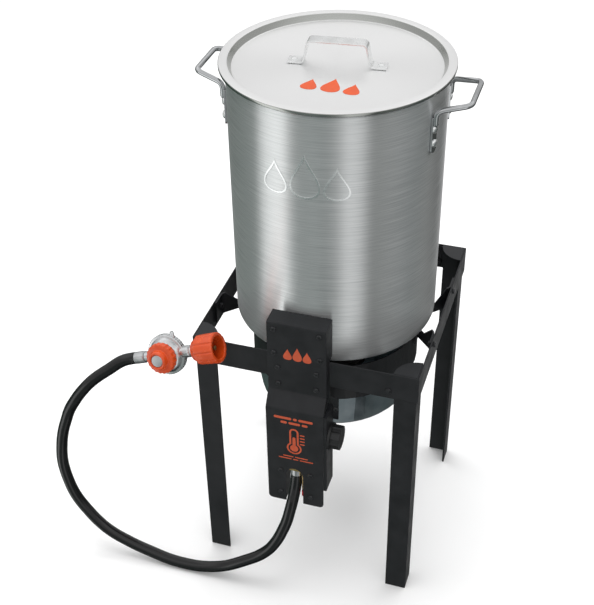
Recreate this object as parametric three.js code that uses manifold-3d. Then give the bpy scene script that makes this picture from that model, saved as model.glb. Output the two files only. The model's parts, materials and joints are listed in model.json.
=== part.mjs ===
// Outdoor brew kettle: a lidded aluminium kettle on a four-legged gas burner stand.
// Millimetres, +Z up, front of the stand towards -Y, kettle axis along +Z.
import * as THREE from 'three';
import { mergeVertices } from 'three/addons/utils/BufferGeometryUtils.js';
import Module from 'manifold-3d';

const wasm = await Module();
wasm.setup();

// ---------------------------------------------------------------- driving dimensions
const gap = 0.3;                       // clearance kept between touching pieces

const kettleRadius = 152;
const kettleWall = 2;
const kettleBase = 428.5;              // underside of the kettle above the ground
const kettleRim = 835.7;
const kettleCorner = 12;
const rimBead = 5;

const handleAngle = 18.5;              // degrees from the handle's centre line to each tab
const handleReach = 191;               // kettle axis to the grip's centre line
const handleHalfGrip = 37;
const handleHeight = 811;
const rodRadius = 3.8;
const tabWidth = 12;
const tabThickness = 3;
const tabBottom = 743;
const tabTop = 791;
const rivetHeights = { upper: 777, lower: 756 };

const lidRadius = 161;
const lidTop = 837.5;
const lidSheet = 1.5;
const lidFloor = 828;
const lidFloorRadius = 144.3;
const strapTurn = 6;                   // degrees, the strap's turn on the lid
const strapWidth = 20;
const strapThickness = 2.5;
const strapRise = 34.5;
const strapFoot = 68;
const strapRivet = 59.5;

const frameHalf = 170;                 // half the square frame's outside width
const frameTop = 450;
const barHeight = 45;
const barThickness = 2;
const legWidth = 33;
const legThickness = 3;
const gussetRadius = 35;
const gussetThickness = 2.5;
const clipThickness = 2;               // bent clip that clamps each leg to the front or back bar
const clipBolt = 127;

const bracketThickness = 2.5;
const bracketHeight = 38;
const bracketBend = 58;
const bracketFlangeEnd = 84;
const guardRadius = 129.5;
const guardSheet = 1.5;
const guardTop = 404;
const guardBottom = 340.5;
const bowlSheet = 1;
const bowlBottom = 277;
const bowlBottomRadius = 119;

const burnerRadius = 52;
const burnerTop = 338;
const venturiHeight = 262;
const venturiRadius = 14;
const venturiBore = 11.5;
const venturiMouth = -149;

const coverCentre = -3.5;
const coverHalfWidth = 44;
const coverSheet = 1.6;
const coverBack = -158;
const coverTop = 519;
const coverStep = 397.5;               // lower edge of the upper box
const coverUpperFace = -188;
const coverLowerFace = -204;
const coverLowerTop = 373;
const coverBottom = 186;
const slotCentre = -5.5;
const slotHalfWidth = 13.5;
const slotTop = 257;
const housingHalf = 45;
const housingBack = -168;
const housingBottom = 222;
const housingTop = 371;

const sensorHeight = 485;
const knobY = -184;
const knobHeight = 322;
const knobRadius = 21;

const hoseRadius = 8.5;
const regulatorPlace = [-201, -194, 428];
const regulatorSlope = 21;             // degrees, rise of the inlet line towards the frame
const regulatorLean = 17.5;            // degrees, lean of the dial towards the sky
const nutRadius = 23;
const nutStart = 52;
const nutEnd = 88;

// The stand's own box is centred on the origin in Y.
const shiftY = -(coverLowerFace + frameHalf) / 2;

// ---------------------------------------------------------------- finishes
const finish = {
  aluminium: { color: 0xc9cccb, roughness: 0.3, metalness: 1 },
  chrome: { color: 0xd8dadb, roughness: 0.08, metalness: 1 },
  blackPaint: { color: 0x26282a, roughness: 0.55, metalness: 0 },
  galvanised: { color: 0x9fabaf, roughness: 0.4, metalness: 1 },
  castIron: { color: 0x3a3a3a, roughness: 0.8, metalness: 0.3 },
  steel: { color: 0xa8aaac, roughness: 0.35, metalness: 1 },
  blackSteel: { color: 0x1d1e20, roughness: 0.4, metalness: 0.4 },
  zinc: { color: 0xb9bcbe, roughness: 0.3, metalness: 1 },
  brass: { color: 0xb58a3c, roughness: 0.3, metalness: 1 },
  orange: { color: 0xe2491c, roughness: 0.35, metalness: 0 },
  red: { color: 0xc2202a, roughness: 0.4, metalness: 0 },
  rubber: { color: 0x141414, roughness: 0.6, metalness: 0 },
  blackPlastic: { color: 0x17181a, roughness: 0.4, metalness: 0 },
};

// ---------------------------------------------------------------- geometry helpers
// Merges shared corners, drops flat triangles and turns the faces outward.
function closed(geometry) {
  const bare = new THREE.BufferGeometry();
  bare.setAttribute('position', geometry.getAttribute('position').clone());
  if (geometry.index) bare.setIndex(geometry.index.clone());
  const merged = mergeVertices(bare, 1e-3);
  const index = merged.index.array;
  const place = merged.getAttribute('position');
  const kept = [];
  let volume = 0;
  const corners = [new THREE.Vector3(), new THREE.Vector3(), new THREE.Vector3()];
  for (let i = 0; i < index.length; i += 3) {
    const [a, b, c] = [index[i], index[i + 1], index[i + 2]];
    if (a === b || b === c || c === a) continue;
    kept.push(a, b, c);
    corners[0].fromBufferAttribute(place, a);
    corners[1].fromBufferAttribute(place, b);
    corners[2].fromBufferAttribute(place, c);
    volume += corners[0].dot(corners[1].cross(corners[2]));
  }
  if (volume < 0) {
    for (let i = 0; i < kept.length; i += 3) [kept[i], kept[i + 1]] = [kept[i + 1], kept[i]];
  }
  merged.setIndex(kept);
  return merged;
}

function toSolid(geometry) {
  const merged = closed(geometry);
  return new wasm.Manifold(new wasm.Mesh({
    numProp: 3,
    vertProperties: new Float32Array(merged.getAttribute('position').array),
    triVerts: new Uint32Array(merged.index.array),
  }));
}

function fromSolid(solid) {
  const mesh = solid.getMesh();
  const geometry = new THREE.BufferGeometry();
  geometry.setAttribute('position', new THREE.BufferAttribute(new Float32Array(mesh.vertProperties), 3));
  geometry.setIndex(new THREE.BufferAttribute(new Uint32Array(mesh.triVerts), 1));
  return geometry;
}

const join = (first, ...rest) => fromSolid(rest.reduce((sum, g) => sum.add(toSolid(g)), toSolid(first)));
const cut = (first, ...rest) => fromSolid(rest.reduce((sum, g) => sum.subtract(toSolid(g)), toSolid(first)));

// A solid of revolution about Z from [radius, height] pairs.
function revolve(profile, segments = 48) {
  const points = profile.map(([r, z]) => new THREE.Vector2(r, z));
  return closed(new THREE.LatheGeometry(points, segments).rotateX(Math.PI / 2));
}

// The same about an axis along X or Y, with heights read along that axis.
function revolveAlong(axis, profile, segments = 24) {
  const geometry = revolve(profile, segments);
  return axis === 'x' ? geometry.rotateY(Math.PI / 2) : geometry.rotateX(-Math.PI / 2);
}

function block(x0, x1, y0, y1, z0, z1) {
  const geometry = new THREE.BoxGeometry(x1 - x0, y1 - y0, z1 - z0);
  return geometry.translate((x0 + x1) / 2, (y0 + y1) / 2, (z0 + z1) / 2);
}

function outline(points) {
  return new THREE.Shape(points.map(([x, y]) => new THREE.Vector2(x, y)));
}

function extrudeUp(shape, z0, z1, curveSegments = 8) {
  const options = { depth: z1 - z0, bevelEnabled: false, curveSegments };
  return closed(new THREE.ExtrudeGeometry(shape, options).translate(0, 0, z0));
}

// Rounds the inner corners of a path of [x, y] points with short arcs.
function rounded(points, bend, steps = 2) {
  const path = [points[0]];
  for (let i = 1; i < points.length - 1; i += 1) {
    const here = new THREE.Vector2(...points[i]);
    const back = new THREE.Vector2(...points[i - 1]).sub(here);
    const ahead = new THREE.Vector2(...points[i + 1]).sub(here);
    const reach = Math.min(bend, back.length() * 0.45, ahead.length() * 0.45);
    const start = here.clone().addScaledVector(back.normalize(), reach);
    const end = here.clone().addScaledVector(ahead.normalize(), reach);
    const curve = new THREE.QuadraticBezierCurve(start, here, end);
    curve.getPoints(steps).forEach((p) => path.push([p.x, p.y]));
  }
  path.push(points[points.length - 1]);
  return path;
}

// The outline of a bent sheet: a path given a thickness on both sides.
function sheetOutline(points, thickness, bend = 4) {
  const path = rounded(points, bend).map(([x, y]) => new THREE.Vector2(x, y));
  const sides = [[], []];
  path.forEach((point, i) => {
    const before = path[Math.max(i - 1, 0)];
    const after = path[Math.min(i + 1, path.length - 1)];
    const along = after.clone().sub(before).normalize();
    const across = new THREE.Vector2(-along.y, along.x).multiplyScalar(thickness / 2);
    sides[0].push(point.clone().add(across));
    sides[1].unshift(point.clone().sub(across));
  });
  return new THREE.Shape([...sides[0], ...sides[1]]);
}

// Rounds the corners of a path of 3-D points, each by its own short curve.
function bent(points, bend, steps = 4) {
  const corners = points.map((p) => new THREE.Vector3(...p));
  const path = [corners[0]];
  for (let i = 1; i < corners.length - 1; i += 1) {
    const back = corners[i - 1].clone().sub(corners[i]).setLength(bend).add(corners[i]);
    const ahead = corners[i + 1].clone().sub(corners[i]).setLength(bend).add(corners[i]);
    path.push(...new THREE.QuadraticBezierCurve3(back, corners[i], ahead).getPoints(steps));
  }
  path.push(corners[corners.length - 1]);
  return path;
}

// A round bar whose rings stand on the given points and turn with the path.
function sweep(path, radius, sides) {
  const place = [];
  const faces = [];
  const along = path.map((p, i) => path[Math.min(i + 1, path.length - 1)].clone()
    .sub(path[Math.max(i - 1, 0)]).normalize());
  const across = new THREE.Vector3(0.31, 0.57, 0.76).cross(along[0]).normalize();
  path.forEach((point, i) => {
    across.addScaledVector(along[i], -across.dot(along[i])).normalize();
    const upward = along[i].clone().cross(across);
    for (let k = 0; k < sides; k += 1) {
      const angle = (k / sides) * Math.PI * 2;
      const corner = point.clone().addScaledVector(across, radius * Math.cos(angle))
        .addScaledVector(upward, radius * Math.sin(angle));
      place.push(corner.x, corner.y, corner.z);
    }
  });
  const last = (path.length - 1) * sides;
  for (let i = 0; i < path.length - 1; i += 1) {
    for (let k = 0; k < sides; k += 1) {
      const [a, b] = [i * sides + k, i * sides + ((k + 1) % sides)];
      faces.push(a, b, b + sides, a, b + sides, a + sides);
    }
  }
  for (let k = 1; k < sides - 1; k += 1) {
    faces.push(0, k + 1, k);
    faces.push(last, last + k, last + k + 1);
  }
  const geometry = new THREE.BufferGeometry();
  geometry.setAttribute('position', new THREE.Float32BufferAttribute(place, 3));
  geometry.setIndex(faces);
  return closed(geometry);
}

// ---------------------------------------------------------------- scene graph
const product = new THREE.Group();
product.position.y = shiftY;

function add(name, geometry, look, parent = product) {
  const mesh = new THREE.Mesh(closed(geometry), new THREE.MeshStandardMaterial(finish[look]));
  mesh.name = name;
  parent.add(mesh);
  return mesh;
}

function turnAboutZ(geometry, degrees) {
  return geometry.clone().rotateZ(THREE.MathUtils.degToRad(degrees));
}

// ---------------------------------------------------------------- kettle
// A rivet along X from the kettle's inside to the outside of a handle tab.
function rivetProfile(inner, outer, shank, headRadius, headHeight) {
  return [
    [0, inner - headHeight * 0.7], [headRadius * 0.9, inner], [shank, inner], [shank, outer],
    [headRadius, outer], [headRadius * 0.75, outer + headHeight * 0.8], [0, outer + headHeight],
  ];
}

const rivetShank = 2.4;
const rivetHole = rivetShank + gap;
const tabInner = kettleRadius + gap;
const tabOuter = tabInner + tabThickness;
const tabAngles = { left_front: 180 + handleAngle, left_back: 180 - handleAngle,
  right_front: -handleAngle, right_back: handleAngle };

function kettleShell() {
  const corner = (radius) => {
    const points = [];
    for (let i = 0; i <= 3; i += 1) {
      const angle = -Math.PI / 2 + (i / 3) * (Math.PI / 2);
      points.push([kettleRadius - kettleCorner + radius * Math.cos(angle),
        kettleBase + kettleCorner + radius * Math.sin(angle)]);
    }
    return points;
  };
  const inner = kettleRadius - kettleWall;
  const body = revolve([
    [0, kettleBase], ...corner(kettleCorner),
    [kettleRadius, kettleRim - 6], [kettleRadius + rimBead * 0.8, kettleRim - 5],
    [kettleRadius + rimBead, kettleRim - 2.5], [kettleRadius + rimBead * 0.7, kettleRim],
    [inner, kettleRim], ...corner(kettleCorner - kettleWall).reverse(), [0, kettleBase + kettleWall],
  ], 56);
  const holes = [];
  for (const angle of Object.values(tabAngles)) {
    for (const height of Object.values(rivetHeights)) {
      const drill = revolveAlong('x', [[0, inner - 5], [rivetHole, inner - 5],
        [rivetHole, kettleRadius + 5], [0, kettleRadius + 5]], 8);
      holes.push(turnAboutZ(drill.translate(0, 0, height), angle));
    }
  }
  return cut(body, ...holes);
}

// One handle for the +X side: a bent rod whose ends are flattened into riveted tabs.
function sideHandle() {
  const angle = THREE.MathUtils.degToRad(handleAngle);
  const rodSeat = tabInner + rodRadius + 0.1;
  const [seatX, seatY] = [rodSeat * Math.cos(angle), rodSeat * Math.sin(angle)];
  const bar = sweep(bent([
    [seatX, -seatY, tabTop - 5], [seatX, -seatY, handleHeight - 8],
    [handleReach, -handleHalfGrip, handleHeight], [handleReach, handleHalfGrip, handleHeight],
    [seatX, seatY, handleHeight - 8], [seatX, seatY, tabTop - 5],
  ], 8), rodRadius, 10);
  const pieces = [bar];
  const holes = [];
  for (const side of [-1, 1]) {
    const tab = block(tabInner, tabOuter, -tabWidth / 2, tabWidth / 2, tabBottom, tabTop);
    pieces.push(turnAboutZ(tab, side * handleAngle));
    for (const height of Object.values(rivetHeights)) {
      const drill = revolveAlong('x', [[0, tabInner - 4], [rivetHole, tabInner - 4],
        [rivetHole, tabOuter + 4], [0, tabOuter + 4]], 8);
      holes.push(turnAboutZ(drill.translate(0, 0, height), side * handleAngle));
    }
  }
  return cut(join(...pieces), ...holes);
}

function addKettle() {
  add('kettle_shell', kettleShell(), 'aluminium');
  add('kettle_handle_right', sideHandle(), 'chrome');
  add('kettle_handle_left', turnAboutZ(sideHandle(), 180), 'chrome');
  const inner = kettleRadius - kettleWall - 0.4;
  const rivet = revolveAlong('x', rivetProfile(inner, tabOuter + gap, rivetShank, 5.7, 2.8), 8);
  for (const [place, angle] of Object.entries(tabAngles)) {
    for (const [level, height] of Object.entries(rivetHeights)) {
      const geometry = turnAboutZ(rivet.clone().translate(0, 0, height), angle);
      add(`handle_rivet_${place}_${level}`, geometry, 'aluminium');
    }
  }
}

// ---------------------------------------------------------------- lid
function lidPan() {
  const step = 3.3;
  const pan = revolve([
    [0, lidFloor], [lidFloorRadius, lidFloor], [lidFloorRadius + step, lidTop - 1],
    [lidFloorRadius + step + 0.9, lidTop], [lidRadius - 0.8, lidTop], [lidRadius, lidTop - 0.8],
    [lidRadius, lidTop - 3.4], [lidRadius - lidSheet, lidTop - 3.4], [lidRadius - lidSheet, lidTop - lidSheet],
    [lidFloorRadius + step + 1.6, lidTop - lidSheet], [lidFloorRadius + 1.6, lidFloor - lidSheet],
    [0, lidFloor - lidSheet],
  ], 56);
  const holes = [-1, 1].map((side) => {
    const drill = revolve([[0, lidFloor - 5], [rivetHole, lidFloor - 5], [rivetHole, lidFloor + 5],
      [0, lidFloor + 5]], 8);
    return turnAboutZ(drill.translate(side * strapRivet, 0, 0), strapTurn);
  });
  return cut(pan, ...holes);
}

function lidStrap() {
  const low = lidFloor + gap + strapThickness / 2;
  const high = lidFloor + strapRise - strapThickness / 2;
  const path = [[-strapFoot, low], [-46, low], [-39.5, high], [39.5, high], [46, low], [strapFoot, low]];
  const strap = extrudeUp(sheetOutline(path, strapThickness, 6), -strapWidth / 2, strapWidth / 2);
  strap.rotateX(Math.PI / 2);
  const holes = [-1, 1].map((side) => revolve([[0, lidFloor - 2], [rivetHole, lidFloor - 2],
    [rivetHole, lidFloor + 8], [0, lidFloor + 8]], 8).translate(side * strapRivet, 0, 0));
  return turnAboutZ(cut(strap, ...holes), strapTurn);
}

function addLid() {
  add('lid_pan', lidPan(), 'aluminium');
  add('lid_strap_handle', lidStrap(), 'aluminium');
  const under = lidFloor - lidSheet - gap;
  const above = lidFloor + 2 * gap + strapThickness;
  const rivet = revolve(rivetProfile(under, above, rivetShank, 4, 1.6), 8);
  for (const [place, side] of [['left', -1], ['right', 1]]) {
    add(`lid_rivet_${place}`, turnAboutZ(rivet.clone().translate(side * strapRivet, 0, 0), strapTurn), 'aluminium');
  }
}

// ---------------------------------------------------------------- stand
const barInner = frameHalf - barThickness;
const legOuter = barInner - gap;

function bar(length, height = barHeight) {
  return block(-length / 2, length / 2, -frameHalf, -barInner, frameTop - height, frameTop);
}

const boltRadius = 2.5;
const boltHole = boltRadius + gap;

// A bolt with its nut, head towards -Y, between two faces.
function frameBolt(outer, inner) {
  return revolveAlong('y', [
    [0, outer - 2.6], [3.4, outer - 2.6], [4.6, outer], [boltRadius, outer],
    [boltRadius, inner], [4.2, inner], [4.2, inner + 4], [0, inner + 4],
  ], 8);
}

function drillY(x, z, radius, y0 = -240, y1 = -100) {
  return revolveAlong('y', [[0, y0], [radius, y0], [radius, y1], [0, y1]], 8).translate(x, 0, z);
}

// Corner piece for the front right corner: a quarter-round gusset on top of a clip
// that runs behind the leg and comes forward to lie on the bar, where it is bolted.
function cornerClip() {
  const behind = -(legOuter - legThickness - gap - clipThickness / 2);
  const onBar = -(barInner - gap - clipThickness / 2);
  const legEdge = legOuter - legWidth;
  const strip = sheetOutline([[158, behind], [legEdge - 0.3, behind], [legEdge - 3.1, onBar],
    [clipBolt - 9, onBar]], clipThickness, 0.8);
  const clip = extrudeUp(strip, frameTop - 40, frameTop - gussetThickness + 0.4);
  const disc = new THREE.Shape();
  const corner = legOuter;
  disc.moveTo(corner, -corner);
  disc.lineTo(corner, -corner + gussetRadius);
  disc.absarc(corner, -corner, gussetRadius, Math.PI / 2, Math.PI, false);
  disc.lineTo(corner, -corner);
  const gusset = extrudeUp(disc, frameTop - gussetThickness, frameTop, 7);
  return cut(join(clip, gusset), drillY(clipBolt, frameTop - 31, boltHole));
}

function leg() {
  const w = legOuter;
  const shape = outline([[w, -w], [w, -w + legWidth], [w - legThickness, -w + legWidth],
    [w - legThickness, -w + legThickness], [w - legWidth, -w + legThickness], [w - legWidth, -w]]);
  return extrudeUp(shape, 0, frameTop - gussetThickness - gap);
}

// A kettle bracket for the left side: one strip bent into a hat, bolted to the side
// bar at both ends and to the guard at its crown, with steps that seat the kettle.
const crownX = guardRadius + gap + bracketThickness / 2;
const crownHalf = 22;
const crownDrop = 26;
const guardBoltHeight = 395;
const bracketBoltHeight = 435;
const bracketBoltY = 69;

function kettleBracket() {
  const flangeX = -(barInner - gap - bracketThickness / 2);
  const path = [[flangeX, -bracketFlangeEnd], [flangeX, -bracketBend], [-crownX, -crownHalf],
    [-crownX, crownHalf], [flangeX, bracketBend], [flangeX, bracketFlangeEnd]];
  const strip = extrudeUp(sheetOutline(path, bracketThickness, 3), frameTop - bracketHeight, frameTop - 0.5);
  const tongue = block(-crownX - bracketThickness / 2, -crownX + bracketThickness / 2, -16, 16,
    frameTop - bracketHeight - crownDrop, frameTop - bracketHeight + 1);
  const seat = kettleBase - gap;
  const room = revolve([[0, seat], [kettleRadius + 1.5, seat], [kettleRadius + 19.5, frameTop],
    [kettleRadius + 19.5, frameTop + 20], [0, frameTop + 20]], 56);
  const drills = [drillX(0, guardBoltHeight, boltHole)];
  for (const side of [-1, 1]) drills.push(drillX(side * bracketBoltY, bracketBoltHeight, boltHole));
  return cut(join(strip, tongue), room, ...drills);
}

function drillX(y, z, radius, x0 = -190, x1 = -110) {
  return revolveAlong('x', [[0, x0], [radius, x0], [radius, x1], [0, x1]], 8).translate(0, y, z);
}

function frameBar(place) {
  if (place === 'front' || place === 'back') {
    const holes = [clipBolt, -clipBolt].map((x) => drillY(x, frameTop - 31, boltHole));
    const geometry = cut(bar(frameHalf * 2), ...holes);
    return place === 'front' ? geometry : turnAboutZ(geometry, 180);
  }
  const holes = [bracketBoltY, -bracketBoltY].map((x) => drillY(x, bracketBoltHeight, boltHole));
  const geometry = cut(bar(barInner * 2 - 2 * gap), ...holes);
  return turnAboutZ(geometry, place === 'right' ? 90 : -90);
}

function addFrame() {
  for (const place of ['front', 'back', 'left', 'right']) add(`frame_bar_${place}`, frameBar(place), 'blackPaint');
  const corners = { front_right: [0, 1], front_left: [0, -1], back_right: [180, -1], back_left: [180, 1] };
  for (const [place, [turn, side]] of Object.entries(corners)) {
    const face = (geometry) => turnAboutZ(geometry.clone().scale(side, 1, 1), turn);
    add(`leg_${place}`, face(leg()), 'blackPaint');
    add(`corner_clip_${place}`, face(cornerClip()), 'blackPaint');
    const bolt = frameBolt(-frameHalf - gap, -(barInner - 2 * gap - clipThickness));
    add(`frame_bolt_${place}`, face(bolt.translate(clipBolt, 0, frameTop - 31)), 'blackSteel');
  }
  const bracket = kettleBracket();
  const sideBolt = frameBolt(-frameHalf - gap, -(barInner - 2 * gap - bracketThickness));
  for (const [place, turn] of [['left', -90], ['right', 90]]) {
    for (const [end, y] of [['front', -bracketBoltY], ['back', bracketBoltY]]) {
      const geometry = turnAboutZ(sideBolt, turn).translate(0, y, bracketBoltHeight);
      add(`bracket_bolt_${place}_${end}`, geometry, 'blackSteel');
    }
  }
  add('kettle_bracket_left', bracket, 'blackPaint');
  add('kettle_bracket_right', turnAboutZ(bracket, 180), 'blackPaint');
}

// ---------------------------------------------------------------- guard and burner
function windGuard() {
  const inner = guardRadius - guardSheet;
  const ring = revolve([[guardRadius, guardBottom], [guardRadius, guardTop], [inner, guardTop],
    [inner, guardBottom], [guardRadius, guardBottom]], 48);
  return cut(ring, drillX(0, guardBoltHeight, boltHole), drillX(0, guardBoltHeight, boltHole, 110, 190));
}

// The galvanised liner stands inside the guard and closes under it as a bowl.
function burnerBowl() {
  const outer = guardRadius - guardSheet - gap;
  const opening = 21;
  const bowl = revolve([
    [outer, guardTop - 2], [outer, guardBottom], [bowlBottomRadius, bowlBottom + 6],
    [bowlBottomRadius - 5, bowlBottom], [opening, bowlBottom], [opening, bowlBottom + bowlSheet],
    [bowlBottomRadius - 5.6, bowlBottom + bowlSheet], [bowlBottomRadius - bowlSheet, bowlBottom + 6.4],
    [outer - bowlSheet, guardBottom], [outer - bowlSheet, guardTop - 2], [outer, guardTop - 2],
  ], 48);
  return cut(bowl, drillX(0, guardBoltHeight, boltHole), drillX(0, guardBoltHeight, boltHole, 110, 190));
}

// Cast ring burner: a shallow head with a raised rim, on a hollow neck.
function burnerHead() {
  const head = revolve([
    [venturiBore, bowlBottom + 12], [18.5, bowlBottom + 12], [18.5, burnerTop - 22],
    [burnerRadius - 6, burnerTop - 14], [burnerRadius, burnerTop - 9], [burnerRadius, burnerTop - 2],
    [burnerRadius - 3, burnerTop], [burnerRadius - 16, burnerTop], [burnerRadius - 20, burnerTop - 5],
    [22, burnerTop - 5], [16, burnerTop - 1], [venturiBore, burnerTop - 1], [venturiBore, bowlBottom + 12],
  ], 28);
  const ports = [];
  const portCount = 14;
  for (let i = 0; i < portCount; i += 1) {
    const port = block(burnerRadius - 8, burnerRadius + 2, -1.2, 1.2, burnerTop - 7, burnerTop - 3);
    ports.push(turnAboutZ(port, ((i + 0.5) / portCount) * 360));
  }
  return cut(head, ...ports);
}

function venturiTube() {
  const top = bowlBottom + 12 - gap;
  const path = [[0, 0, top], [0, 0, venturiHeight], [0, venturiMouth, venturiHeight]];
  const outside = sweep(bent(path, 17, 5), venturiRadius, 16);
  const bore = sweep(bent([[0, 0, top + 3], [0, 0, venturiHeight], [0, venturiMouth - 3, venturiHeight]],
    17, 5), venturiBore, 16);
  const windows = [-1, 1].map((side) => block(side * 8, side * 20, venturiMouth + 5, venturiMouth + 13,
    venturiHeight - 4, venturiHeight + 4)).map((g) => closed(g));
  return cut(outside, bore, ...windows);
}

// A sleeve that turns on the venturi's mouth to open or close its air windows.
function airShutter() {
  const [inner, outer] = [venturiRadius + gap, venturiRadius + 1.8];
  const sleeve = revolveAlong('y', [[outer, venturiMouth + 1], [outer, venturiMouth + 18],
    [inner, venturiMouth + 18], [inner, venturiMouth + 1], [outer, venturiMouth + 1]], 24);
  const tab = block(-4, 4, venturiMouth + 8, venturiMouth + 10, outer - 1, outer + 8);
  const windows = [-1, 1].map((side) => block(side * 10, side * 20, venturiMouth + 5, venturiMouth + 13, -4, 4));
  return join(cut(sleeve, ...windows), tab).translate(0, 0, venturiHeight);
}

function addBurner() {
  add('wind_guard', windGuard(), 'blackPaint');
  add('burner_bowl', burnerBowl(), 'galvanised');
  add('burner_head', burnerHead(), 'castIron');
  add('venturi_tube', venturiTube(), 'steel');
  add('air_shutter', airShutter(), 'steel');
  const bolt = frameBolt(-(crownX + bracketThickness / 2 + gap),
    -(guardRadius - guardSheet - 2 * gap - bowlSheet)).translate(0, 0, guardBoltHeight);
  add('guard_bolt_left', turnAboutZ(bolt, -90), 'blackSteel');
  add('guard_bolt_right', turnAboutZ(bolt, 90), 'blackSteel');
}

// ---------------------------------------------------------------- control box
const toYZ = new THREE.Matrix4().makeBasis(
  new THREE.Vector3(0, 1, 0), new THREE.Vector3(0, 0, 1), new THREE.Vector3(1, 0, 0));

// Extrudes a (y, z) outline along X.
function extrudeAcross(shape, x0, x1) {
  return extrudeUp(shape, x0, x1).applyMatrix4(toYZ);
}

function controlCover() {
  const half = coverSheet / 2;
  const front = coverUpperFace + half;
  const lower = coverLowerFace + half;
  const path = [[coverBack, coverTop - half], [front, coverTop - half], [front, coverStep],
    [lower, coverLowerTop], [lower, coverBottom]];
  const sheet = extrudeAcross(sheetOutline(path, coverSheet, 2), -coverHalfWidth, coverHalfWidth)
    .translate(coverCentre, 0, 0);
  const clearOfBar = -(frameHalf + 2 * gap);
  const cheek = outline([[front, coverTop - half], [coverBack, coverTop - half], [coverBack, frameTop + 4],
    [clearOfBar, frameTop + 4], [clearOfBar, coverStep + 3], [coverLowerFace + 20, coverLowerTop + 3],
    [lower, coverLowerTop + 0.4], [front, coverStep]]);
  const cheeks = [-1, 1].map((side) => {
    const [a, b] = [side * (coverHalfWidth - coverSheet), side * coverHalfWidth];
    return extrudeAcross(cheek, Math.min(a, b), Math.max(a, b)).translate(coverCentre, 0, 0);
  });
  const slot = new THREE.Shape();
  const archZ = slotTop - slotHalfWidth;
  slot.moveTo(slotCentre - slotHalfWidth, coverBottom - 5);
  slot.lineTo(slotCentre + slotHalfWidth, coverBottom - 5);
  slot.absarc(slotCentre, archZ, slotHalfWidth, 0, Math.PI, false);
  slot.lineTo(slotCentre - slotHalfWidth, coverBottom - 5);
  const slotCut = extrudeUp(slot, -20, 20).rotateX(Math.PI / 2).translate(0, coverLowerFace, 0);
  const cornerCuts = [-1, 1].map((side) => {
    const radius = 7;
    const nook = new THREE.Shape();
    nook.moveTo(coverHalfWidth + 1, coverBottom - 1);
    nook.lineTo(coverHalfWidth + 1, coverBottom + radius);
    nook.lineTo(coverHalfWidth, coverBottom + radius);
    nook.absarc(coverHalfWidth - radius, coverBottom + radius, radius, 0, -Math.PI / 2, true);
    nook.lineTo(coverHalfWidth - radius, coverBottom - 1);
    const geometry = extrudeUp(nook, -20, 20).rotateX(Math.PI / 2).translate(0, coverLowerFace, 0);
    return geometry.scale(side, 1, 1).translate(coverCentre, 0, 0);
  });
  // A folded flange beside the slot keeps the hose off the sheet's edge.
  const flangeDepth = 22;
  const slotEdge = slotCentre - slotHalfWidth;
  const flange = block(slotEdge - coverSheet, slotEdge, lower, lower + flangeDepth, coverBottom + 4, archZ);
  return join(cut(join(sheet, ...cheeks), slotCut, ...cornerCuts), flange);
}

// Rear case of the valve: a box open to the front, behind the lower panel.
function valveHousing() {
  const sheet = 1.2;
  const half = housingHalf;
  const open = coverLowerFace + coverSheet + gap;
  const shell = block(-half, half, open, housingBack, housingBottom, housingTop);
  const room = block(-half + sheet, half - sheet, open - 1, housingBack - sheet, housingBottom + sheet,
    housingTop - sheet);
  const lip = block(half - 10, half, open, open + sheet, housingBottom, housingTop);
  const hoseNotch = block(slotCentre - slotHalfWidth - 2, slotCentre + slotHalfWidth + 5, open - 1, -180,
    housingBottom - 1, housingBottom + 3);
  const stemHole = revolveAlong('x', [[0, 30], [6, 30], [6, 50], [0, 50]], 12).translate(0, knobY, knobHeight);
  return cut(join(cut(shell, room), lip), hoseNotch, stemHole, drillY(0, venturiHeight, 8.5, -175, -150));
}

// Plate welded behind the front bar; it carries the valve housing.
function housingPlate() {
  const front = -(barInner - gap);
  const shape = outline([[-53, 341], [53, 341], [53, 381], [40, 383], [40, 446], [-40, 446], [-40, 383],
    [-53, 381]]);
  return extrudeUp(shape, 0, barThickness).rotateX(Math.PI / 2).translate(0, front + barThickness, 0);
}

const springFront = -180.4;
const springLength = 15.3;

function sensorPlate() {
  const inner = coverHalfWidth - coverSheet - gap;
  const plate = block(coverCentre - inner, coverCentre + inner, -161.5, -160, frameTop + 5,
    coverTop - coverSheet - gap);
  return cut(plate, drillY(0, sensorHeight, 5));
}

function sensorPlunger() {
  return revolveAlong('y', [
    [0, -181.5], [4, -181.5], [4, -163.9], [7, -163.9], [7, -161.9], [4, -161.9], [4, -156.2],
    [9, -156.2], [9, -154], [8, -153.2], [0, -153.2],
  ], 20).translate(0, 0, sensorHeight);
}

function sensorSpring() {
  const turns = 5;
  const perTurn = 8;
  const radius = 6;
  const coil = [];
  for (let i = 0; i <= turns * perTurn; i += 1) {
    const angle = (i / perTurn) * Math.PI * 2;
    const along = springFront + (i / (turns * perTurn)) * springLength;
    coil.push(new THREE.Vector3(radius * Math.cos(angle), along, sensorHeight + radius * Math.sin(angle)));
  }
  return sweep(coil, 0.7, 5);
}

// Brass valve: inlet under its front block, orifice towards the venturi, stem towards
// the knob and a guide for the reset button, all on one body.
const buttonPlace = [8.5, -197];
const guideBottom = 211.5;
const stemRadius = 3;

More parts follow.
